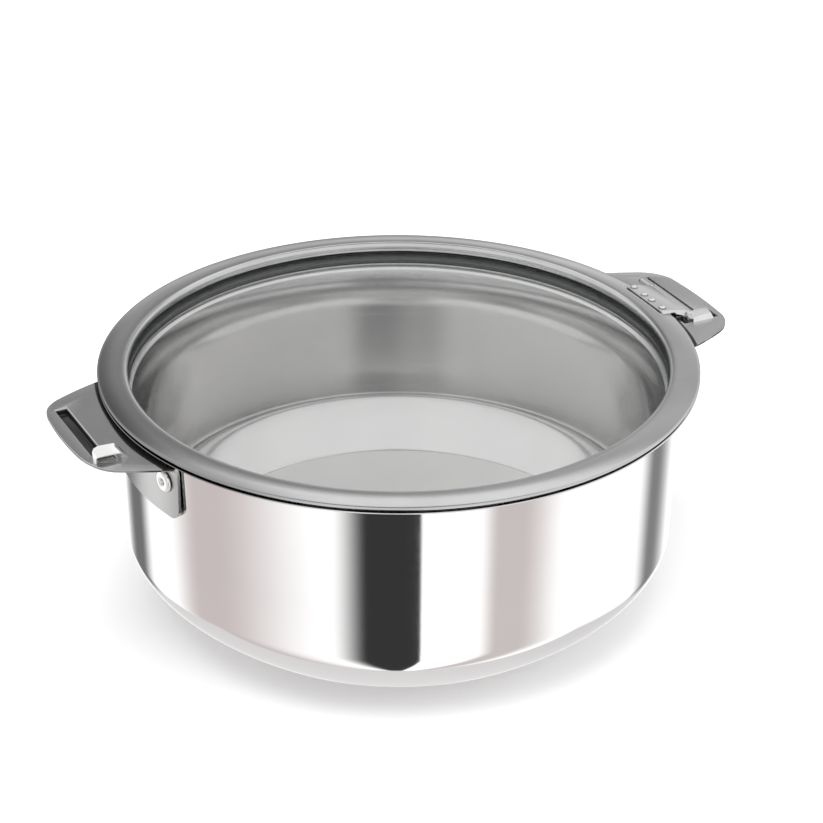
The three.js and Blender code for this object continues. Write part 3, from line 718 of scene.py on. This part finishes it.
def gripOutline(shares):
    # Half of the plate's edge seen from above, from the root to the middle of the tip
    root, side, shoulder, corner, tip = [
        (grip["apronInner"] + along * grip["length"], across * grip["halfWidth"]) for along, across in shares]
    bow = (grip["apronInner"] + grip["tipBow"] * grip["length"], 0)
    points = curvePoints(root, side, shoulder, grip["sideSteps"])
    points += curvePoints(shoulder, corner, tip, grip["shoulderSteps"])[1:]
    edge = curvePoints(tip, bow, (tip[0], -tip[1]), grip["tipSteps"])
    return [(0, root[1])] + points + edge[1:grip["tipSteps"] // 2 + 1]


def gripSheet(nearSide, near):
    # Upper face of plate, bend and apron, for the +X side; the edge nearSide has an outline of its own
    inner, bottom, bend = grip["apronInner"], grip["apronBottom"], grip["bendRadius"]
    height, reach = grip["top"] - bend, inner + bend
    profile = [(inner, bottom), (inner, height - grip["bendLead"])]
    profile += arcPoints((reach, height), bend, 180, 90, grip["bendSteps"])
    profile.append((inner + grip["length"] + grip["overrun"], grip["top"]))
    spread = math.radians(grip["spread"])
    bm = faceUp(spin(wire(profile), grip["spreadSteps"], 2 * spread, -spread))
    for side in (1, -1):
        outline = gripOutline(grip[near] if side == nearSide else grip["side"])
        for first, second in zip(outline, outline[1:]):
            along = (second[0] - first[0], side * (second[1] - first[1]), 0)
            trim(bm, (first[0], side * first[1], 0), (-side * along[1], side * along[0], 0))
    wing = grip["top"] - grip["wingFall"]
    trim(bm, (0, 0, wing), (0, 0, 1), clear=False)
    below = lambda face: face.calc_center_median().z < wing * mm
    above = lambda face: face.calc_center_median().z > wing * mm
    half, wide, corner = grip["apronHalfWidth"], grip["halfWidth"], grip["apronCorner"]
    for side in (1, -1):
        trim(bm, (0, side * half, 0), (0, side, 0), below)
        trim(bm, (0, side * half, wing), (0, side * grip["wingFall"], half - wide), above)
        for angle in grip["cornerAngles"]:
            a = math.radians(angle)
            point = (0, side * (half - corner + corner * math.cos(a)), bottom + corner - corner * math.sin(a))
            trim(bm, point, (0, side * math.cos(a), -math.sin(a)), below)
    return bm


def rollEdges(bm):
    near, root = Vector(grip["creaseNear"]), Vector(grip["creaseRoot"])
    along = (root - near).normalized()
    lowest = (grip["top"] - grip["levelBand"]) * mm
    level = lambda face: face.calc_center_median().z > lowest
    for side in (1, -1):
        outward = Vector((along.y, -side * along.x, 0))
        start = Vector((near.x, side * near.y, 0))
        for past in grip["rollCuts"]:
            trim(bm, start + outward * past, outward, level, clear=False)
        for vert in bm.verts:
            past = (vert.co / mm - start).dot(outward)
            if past > grip["rollStart"] and vert.co.z > lowest:
                vert.co.z -= grip["rollSlope"] * (past - grip["rollLead"]) * mm


strap = {
    "inner": 127.2, "outer": 137.9, "width": (-23.7, -16.0), "crown": 100.65, "thickness": 0.6,
    "shoulder": (1.7, 1.5), "shoulderSteps": 6, "levelLength": 5, "lead": 0.6, "leadFall": 0.25,
    "endFall": 0.5,
    # Rounding of the outer far corner, seen from above
    "corner": [(133.9, -16.0), (136.1, -17.3), (137.3, -19.2), (137.9, -21.5), (138.0, -22.2)],
    # Notch of the inner end: its depth and place, and how far it runs to either side
    "notch": 0.9, "notchAt": -18.5, "notchFar": 2.5, "notchNear": 8, "notchReach": 0.7, "steps": 6,
}
# Block that carries the strap's inner end; its top and inner faces slope
land = {
    "length": 3, "sunk": 0.3, "lap": 0.3, "crest": [(0.3, -1.2), (-0.5, -1)], "nearInset": 0.5,
    "farInset": 0.3,
}


def gripStrap():
    # Bridge over the near end of the left grip's slot, with a notched inner end
    outer, inner, crown, top = strap["outer"], strap["inner"], strap["crown"], grip["top"]
    near, far = strap["width"]
    run, fall = strap["shoulder"]
    profile = [(outer, top), (outer, crown - fall)]
    turn = curvePoints((outer, crown - fall), (outer, crown), (outer - run, crown), strap["shoulderSteps"])
    profile += turn[1:]
    profile += [(outer - strap["levelLength"], crown), (inner + strap["lead"], crown - strap["leadFall"])]
    profile.append((inner, crown - strap["endFall"]))
    bm = faceUp(strip(profile, near, far, strap["steps"]))
    for first, second in zip(strap["corner"], strap["corner"][1:]):
        trim(bm, (*first, 0), (first[1] - second[1], second[0] - first[0], 0))
    for vert in bm.verts:
        if vert.co.x < (inner + strap["notchReach"]) * mm:
            past = vert.co.y / mm - strap["notchAt"]
            gone = past / strap["notchFar"] if past > 0 else -past / strap["notchNear"]
            vert.co.x += strap["notch"] * mm * (1 - gone)
    bmesh.ops.mirror(bm, geom=bm.verts[:] + bm.edges[:] + bm.faces[:], axis="X", merge_dist=0)
    bmesh.ops.delete(bm, geom=[f for f in bm.faces if f.calc_center_median().x > 0], context="FACES")
    piece = makePiece("leftGripStrap", faceUp(bm), strapSteel, "pot", "grip_steel")
    wall(piece, strap["thickness"])
    edges(piece, 0.2, 3)
    points = [(inner - land["length"], top - land["sunk"]), (inner + land["lap"], top - land["sunk"])]
    points += [(inner + outward, crown + up) for outward, up in land["crest"]]
    bm = flatBar([(-x, z) for x, z in points], near + land["nearInset"], far - land["farInset"])
    edges(makePiece("leftGripLand", bm, gripSteel, "pot", "grip_steel"), 0.2)


# Openings of the plates, each a reach and a width, on the +X side
leftChannels = {
    "slot": ((131.9, 136.6), (-23.6, 16.1)), "slotDepth": 2.9, "slotRoll": 0.6,
    "underStrap": ((128.7, 135.7), (17.4, 22.5)), "strapDepth": 1.5, "strapRoll": 0.4,
}
rightChannels = {
    "slot": ((126.2, 133.2), (-16, 15.3)), "slit": ((131.6, 133.2), (15.3, 25.7)),
    "window": ((122.4, 126.2), (-20.2, -13)), "pocket": ((126.2, 138.9), (-20, -11)),
    "depth": 3.3, "roll": 0.3,
}


def leftGrip():
    # Made on the +X side with its near edge towards +Y, then turned half round
    bm = gripSheet(1, "leftNear")
    c = leftChannels
    pressChannel(bm, [c["slot"]], grip["top"], c["slotDepth"], c["slotRoll"])
    pressChannel(bm, [c["underStrap"]], grip["top"], c["strapDepth"], c["strapRoll"])
    rollEdges(bm)
    bmesh.ops.transform(bm, matrix=Matrix.Rotation(math.pi, 4, "Z"), verts=bm.verts)
    piece = makePiece("leftGripPlate", bm, gripSteel, "pot", "grip_steel", "handle_left")
    wall(piece, grip["thickness"])
    edges(piece, 0.25)
    gripStrap()


hinge = {
    "reach": 129, "height": 97.6, "pin": 1.2, "pinHead": 1.7, "headLength": 0.8, "end": 24.0,
    "bore": 1.28, "knuckle": 1.75, "sleeve": 1.65, "nearEnd": -19.2, "farSleeve": (16.3, 23.7),
    "lip": 0.2, "sleeveTurns": 40, "pinTurns": 36,
}
# Corners of the cap: far and near edge of its top, then its foot, each at the inner and the outer end
cap = {
    "far": [(128.9, -15.4, 100.3), (135.7, -15.4, 100.3)],
    "near": [(126.6, -20.3, 99.5), (135.3, -19.9, 99.5)],
    "foot": [(126.0, -21.0, 97.3), (136.2, -20.9, 97.3)], "innerFoot": (126.7, -15.4, 97.9),
    "sheet": 0.5, "fold": 0.35,
}


def layOnPinAxis(bm):
    # From the Z axis to the pin's
    bmesh.ops.rotate(bm, verts=bm.verts, cent=(0, 0, 0), matrix=Matrix.Rotation(-math.pi / 2, 3, "X"))
    bmesh.ops.translate(bm, verts=bm.verts, vec=(hinge["reach"] * mm, 0, hinge["height"] * mm))


def barrel(radius, bore, start, end):
    # Hollow barrel on the pin's axis
    lip = hinge["lip"]
    profile = [(bore, start + lip / 2), (bore + lip / 2, start), (radius - lip, start), (radius, start + lip),
               (radius, end - lip), (radius - lip, end), (bore + lip / 2, end), (bore, end - lip / 2)]
    bm = spin(wire(profile, closed=True), hinge["sleeveTurns"])
    layOnPinAxis(bm)
    return bm


def gripCap():
    # Hood over the pin's near end, open towards the slot and at its outer side
    bm = bmesh.new()
    corners = cap["far"] + cap["near"] + cap["foot"] + [cap["innerFoot"]]
    farInner, farOuter, nearInner, nearOuter, footInner, footOuter, innerFoot = [
        bm.verts.new(Vector(corner) * mm) for corner in corners]
    bm.faces.new((farInner, nearInner, nearOuter, farOuter))
    bm.faces.new((nearInner, footInner, footOuter, nearOuter))
    bm.faces.new((farInner, innerFoot, footInner, nearInner))
    bmesh.ops.recalc_face_normals(bm, faces=bm.faces)
    rollOver(bm, [edge for edge in bm.edges if len(edge.link_faces) == 2], cap["fold"], 3)
    piece = makePiece("rightGripCap", faceUp(bm), capSteel, "pot", "grip_steel")
    wall(piece, cap["sheet"])
    edges(piece, 0.1)


def rightGrip():
    bm = gripSheet(-1, "rightNear")
    openings = [rightChannels[name] for name in ("slot", "slit", "window", "pocket")]
    pressChannel(bm, openings, grip["top"], rightChannels["depth"], rightChannels["roll"])
    rollEdges(bm)
    piece = makePiece("rightGripPlate", bm, gripSteel, "pot", "grip_steel", "handle_right")
    wall(piece, grip["thickness"])
    edges(piece, 0.25)
    gripCap()
    sleeve = barrel(hinge["sleeve"], hinge["bore"], *hinge["farSleeve"])
    makePiece("rightGripSleeve", sleeve, gripSteel, "pot", "grip_steel", sharp=40)


leftGrip()
rightGrip()
print("grips made")


# Hinge
leaf = {
    "top": [(114.9, 102.12), (120.3, 101.58), (120.9, 101.46), (121.3, 101.37), (124.5, 100.55),
            (126.6, 99.85), (127.4, 99.5)],
    # Height of the folded side under each of those points
    "foldBottoms": (101.2, 100.8, 100.6, 99.9, 98.6, 96.2, 95.4),
    "halfWidth": 14.9, "sheet": 0.7, "foldStart": 13.4, "foldRadius": 0.6, "rollFrom": 108, "rollTo": -200,
    "rollSteps": 30,
}


def leafPlate():
    # The sides of the leaf slope down, deeper towards the knuckle
    half, start, top = leaf["halfWidth"], leaf["foldStart"], leaf["top"]
    axis = (hinge["reach"], hinge["height"])
    roll = arcPoints(axis, hinge["knuckle"], leaf["rollFrom"], leaf["rollTo"], leaf["rollSteps"])
    bm = strip(top + roll, -start, start)
    bends = []
    for side in (-1, 1):
        ends = [e for e in bm.edges if all(abs(v.co.y - side * start * mm) < 1e-6 for v in e.verts)]
        bends += [e for e in ends if max(v.co.x for v in e.verts) < (top[-1][0] + 0.01) * mm]
        for vert in drawnVerts(bmesh.ops.extrude_edge_only(bm, edges=ends)):
            vert.co.y = side * half * mm
            places = [(vert.co - Vector((x * mm, vert.co.y, z * mm))).length for x, z in top]
            if min(places) < 1e-5:
                vert.co.z = leaf["foldBottoms"][places.index(min(places))] * mm
    rollOver(bm, [e for e in bends if e.is_valid], leaf["foldRadius"], 3)
    bmesh.ops.recalc_face_normals(bm, faces=bm.faces)
    piece = makePiece("leafPlate", faceUp(bm), leafSteel, "lid", "leaf_steel", "hinge_leaf")
    wall(piece, leaf["sheet"])
    edges(piece, 0.12, 3)


def hingePin():
    # Peened head at the far end, plain end under the cap
    end, head, length, radius = hinge["end"], hinge["pinHead"], hinge["headLength"], hinge["pin"]
    peened = [(0, length), (head * 0.45, length * 0.97), (head * 0.8, length * 0.72), (head, length * 0.2)]
    profile = [(r, end + rise) for r, rise in peened + [(head - 0.1, 0)]]
    profile += [(radius, end), (radius, hinge["nearEnd"] + 0.2)]
    profile += [(radius - 0.2, hinge["nearEnd"]), (0, hinge["nearEnd"])]
    bm = spin(wire(profile), hinge["pinTurns"])
    layOnPinAxis(bm)
    makePiece("hingePinWire", bm, pinSteel, "pot", "pin_steel", "hinge_pin", sharp=50)


# Rivets
gripRivet = {
    "offset": 25, "height": 84.5, "face": 114.4, "head": 4.5, "rise": 1.1, "hollow": 1.3, "depth": 2.6,
    "shank": 2.1, "inside": 111.3, "tail": 3.4, "tailLength": 2.3, "apronRadius": 114.1, "turns": 48,
}


def gripRivets():
    # Flat hollow heads
    r = gripRivet
    face, head, hollow, tail, inside = r["face"], r["head"], r["hollow"], r["tail"], r["inside"]
    mouth, end, shank = face + r["rise"], inside - r["tailLength"], r["shank"]
    floor = mouth - r["depth"]
    profile = [(0, end), (tail * 0.8, end), (tail, end + 0.7), (tail, inside), (shank, inside), (shank, face)]
    profile += [(head - 0.1, face), (head, face + 0.12), (head * 0.98, face + 0.4)]
    profile += [(head * 0.93, mouth - 0.25), (head * 0.85, mouth - 0.08), (head * 0.7, mouth)]
    profile.append((hollow + 0.5, mouth))
    profile += [(hollow + 0.15, mouth - 0.1), (hollow, mouth - 0.4)]
    profile += [(hollow * 0.9, floor + 0.4), (hollow * 0.6, floor), (0, floor)]
    spread = math.asin(r["offset"] / r["apronRadius"])
    for i, turn in enumerate((-spread, spread, math.pi - spread, math.pi + spread)):
        bm = spin(wire(profile), r["turns"])
        bmesh.ops.rotate(bm, verts=bm.verts, cent=(0, 0, 0), matrix=Matrix.Rotation(math.pi / 2, 3, "Y"))
        bmesh.ops.rotate(bm, verts=bm.verts, cent=(0, 0, 0), matrix=Matrix.Rotation(turn, 3, "Z"))
        bmesh.ops.translate(bm, verts=bm.verts, vec=(0, 0, r["height"] * mm))
        name = "handle_rivet_%d" % (i + 1)
        makePiece("gripRivet%d" % (i + 1), bm, rivetSteel, "pot", "rivet_steel", name, sharp=60)


def leafRivets():
    # Low round heads; their tops are taken from the frame
    r = leafRivet
    low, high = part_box("leaf_rivet_1")
    top = high.z / mm
    face, head, shank, tail = top - r["rise"], r["head"], r["shank"], r["tail"]
    profile = [(0, r["tailBottom"]), (tail, r["tailBottom"]), (tail, r["tailTop"]), (shank, r["tailTop"])]
    profile += [(shank, face), (head - 0.05, face), (head, face + 0.1), (head * 0.93, face + 0.4)]
    profile += [(head * 0.72, face + 0.68), (head * 0.4, top - 0.04), (0, top)]
    for i, share in enumerate(r["shares"]):
        bm = spin(wire(profile), r["turns"])
        bmesh.ops.translate(bm, verts=bm.verts, vec=(r["reach"] * mm, share * leaf["halfWidth"] * mm, 0))
        name = "leaf_rivet_%d" % (i + 1)
        makePiece("leafRivet%d" % (i + 1), bm, rivetSteel, "lid", "rivet_steel", name, sharp=60)


leafPlate()
hingePin()
gripRivets()
leafRivets()
print("hinge and rivets made")

# Studio; distances of dome, floor and lamps are in metres
studio = {
    "azimuth": -27.14, "elevation": 28.14, "roll": 0.34, "target": (4.58, -2.35, 75.73), "distance": 1000,
    "lens": 108.13, "sensor": 36, "worldLight": 1.08,
    "floorRadius": 14, "floorHeight": -0.0002, "floorTone": (0.97, 0.97, 0.97),
    "grainTone": (0.93, 0.93, 0.93), "grainScale": 40, "grainShare": 0.1,
}
# Dome that only reflections see. Heights are shares of its radius, turns and elevations are in degrees.
sphere = {
    "radius": 10, "tone": (1.35, 1.35, 1.35), "steelTint": 0.82, "underTone": (0.80, 0.79, 0.79),
    "underHeight": (-0.66, -0.58), "underReach": (0.05, 0.12), "sideBlend": (-9, 9), "besideTurn": (28, 50),
    "besideTone": 0.9, "behindStart": (-24, -8), "besideStart": (-6, 2),
}
# Cards round the pot: where each fades in and out, in degrees from the camera's side, and its tone
cards = [
    {"fadeIn": (-166, -143), "fadeOut": (-136, -122), "tone": (0.156, 0.156, 0.156)},
    {"fadeIn": (-112, -90), "fadeOut": (-80, -22), "tone": (0.56, 0.50, 0.50)},
    {"fadeIn": (-29, -12), "fadeOut": (9.3, 9.8), "tone": (0.034, 0.034, 0.035)},
    {"fadeIn": (32, 42), "fadeOut": (51, 76), "tone": (0.57, 0.52, 0.515)},
    {"fadeIn": (115, 130), "fadeOut": (133, 160), "tone": (0.21, 0.21, 0.21)},
]
# Ceiling behind the pot: its tone at each elevation, at the left and at the right
ceiling = [
    {"elevation": -2, "left": 0.10, "right": 0.16},
    {"elevation": 4, "left": 0.40, "right": 0.50},
    {"elevation": 12, "left": 0.62, "right": 0.90},
    {"elevation": 17, "left": 0.43, "right": 0.70},
    {"elevation": 22, "left": 0.37, "right": 0.52},
    {"elevation": 28, "left": 0.27, "right": 0.48},
    {"elevation": 32, "left": 0.20, "right": 0.60},
    {"elevation": 39, "left": 0.33, "right": 0.38},
    {"elevation": 43, "left": 1.10, "right": 1.10},
    {"elevation": 54, "left": 1.10, "right": 1.10},
    {"elevation": 62, "left": 0.22, "right": 0.22},
    {"elevation": 90, "left": 0.60, "right": 0.60},
]
lamps = [
    {"name": "topBox", "place": (-0.3, -0.2, 1.6), "size": 1.4, "power": 13},
    {"name": "sideBox", "place": (1.3, -0.9, 1.0), "size": 1.0, "power": 5},
]


def stagePiece(name, bm, finish):
    mesh = bpy.data.meshes.new(name)
    bm.to_mesh(mesh)
    bm.free()
    mesh.materials.append(finish.material)
    piece = bpy.data.objects.new(name, mesh)
    scene.collection.objects.link(piece)
    return piece


def ceilingTone(finish, elevation, side):
    tone = ceiling[0][side]
    for low, high in zip(ceiling, ceiling[1:]):
        tone = tone + finish.ramp(elevation, low["elevation"], high["elevation"]) * (high[side] - low[side])
    return tone


def halfTurnWrap(finish, turn):
    # Brings an angle in degrees between -180 and 180
    return finish.signal("ShaderNodeMath", {"operation": "WRAP"}, {0: turn, 1: 180.0, 2: -180.0})


def studioDome():
    finish = Finish("studioDome")
    x, y, z = finish.axes(finish.place((1 / sphere["radius"],) * 3))
    azimuth, degrees = math.radians(studio["azimuth"]), 180 / math.pi
    turn = halfTurnWrap(finish, finish.math("ARCTAN2", x, -y) * degrees - studio["azimuth"])
    behind = halfTurnWrap(finish, turn - 180)
    elevation = finish.math("ARCSINE", z) * degrees
    toward = x * math.sin(azimuth) - y * math.cos(azimuth)
    tone = sphere["tone"]
    for card in cards:
        share = finish.ramp(turn, *card["fadeIn"]) * (1 - finish.ramp(turn, *card["fadeOut"]))
        tone = finish.mix(share, tone, tuple(value / sphere["steelTint"] for value in card["tone"]))
    under = (1 - finish.ramp(z, *sphere["underHeight"])) * (1 - finish.ramp(toward, *sphere["underReach"]))
    tone = finish.mix(under, tone, sphere["underTone"])
    left, right = ceilingTone(finish, elevation, "left"), ceilingTone(finish, elevation, "right")
    side = finish.ramp(behind, *sphere["sideBlend"])
    back = left * side + right * (1 - side)
    beside = finish.ramp(finish.math("ABSOLUTE", behind), *sphere["besideTurn"])
    sky = back * (1 - beside) + beside * sphere["besideTone"]
    start = finish.ramp(elevation, *sphere["behindStart"]) * (1 - beside)
    start = start + finish.ramp(elevation, *sphere["besideStart"]) * beside
    tone = finish.mix(start, tone, sky)
    light = finish.node("ShaderNodeEmission", {}, {"Color": tone})
    finish.tree.links.new(light.outputs[0], finish.output.inputs["Surface"])
    finish.material.cycles.emission_sampling = "NONE"
    bm = bmesh.new()
    bmesh.ops.create_uvsphere(bm, u_segments=96, v_segments=48, radius=sphere["radius"])
    bmesh.ops.reverse_faces(bm, faces=bm.faces)
    dome = stagePiece("studioDome", bm, finish)
    dome.visible_camera = dome.visible_diffuse = dome.visible_shadow = dome.visible_transmission = False


def studioFloor():
    finish = Finish("studioFloor")
    grain = finish.noise(finish.place(), studio["grainScale"], 4)
    tone = finish.mix(grain * studio["grainShare"], studio["floorTone"], studio["grainTone"])
    finish.surface(Base_Color=tone, Roughness=0.9, Specular_IOR_Level=0.0)
    bm = bmesh.new()
    bmesh.ops.create_circle(bm, cap_ends=True, segments=96, radius=studio["floorRadius"])
    floor = stagePiece("studioFloor", bm, finish)
    floor.location.z = studio["floorHeight"]
    floor.visible_glossy = False


def softBox(name, place, size, power):
    light = bpy.data.lights.new(name, "AREA")
    light.shape, light.size, light.energy = "DISK", size, power
    lamp = bpy.data.objects.new(name, light)
    scene.collection.objects.link(lamp)
    lamp.location = place
    lamp.rotation_mode = "QUATERNION"
    lamp.rotation_quaternion = (Vector((0, 0, 0.05)) - Vector(place)).to_track_quat("-Z", "Y")
    lamp.visible_glossy = False


def studioAir():
    world = bpy.data.worlds.new("studioAir")
    world.use_nodes = True
    background = world.node_tree.nodes["Background"]
    background.inputs["Color"].default_value = (1, 1, 1, 1)
    background.inputs["Strength"].default_value = studio["worldLight"]
    scene.world = world
    scene.view_settings.view_transform = "Standard"


def studioCamera():
    azimuth, elevation = math.radians(studio["azimuth"]), math.radians(studio["elevation"])
    level = math.cos(elevation)
    back = Vector((math.sin(azimuth) * level, -math.cos(azimuth) * level, math.sin(elevation)))
    right = Vector((math.cos(azimuth), math.sin(azimuth), 0))
    up = back.cross(right)
    roll = math.radians(studio["roll"])
    across = right * math.cos(roll) + up * math.sin(roll)
    upward = up * math.cos(roll) - right * math.sin(roll)
    camera = bpy.data.objects.new("camera", bpy.data.cameras.new("camera"))
    camera.data.lens, camera.data.sensor_width = studio["lens"], studio["sensor"]
    camera.data.sensor_fit = "HORIZONTAL"
    camera.data.clip_start, camera.data.clip_end = 0.05, 40
    turn = Matrix((across, upward, back)).transposed().to_4x4()
    turn.translation = (Vector(studio["target"]) + back * studio["distance"]) * mm
    camera.matrix_world = turn
    scene.collection.objects.link(camera)
    scene.camera = camera


studioDome()
studioFloor()
for lamp in lamps:
    softBox(**lamp)
studioAir()
studioCamera()
print("studio made")
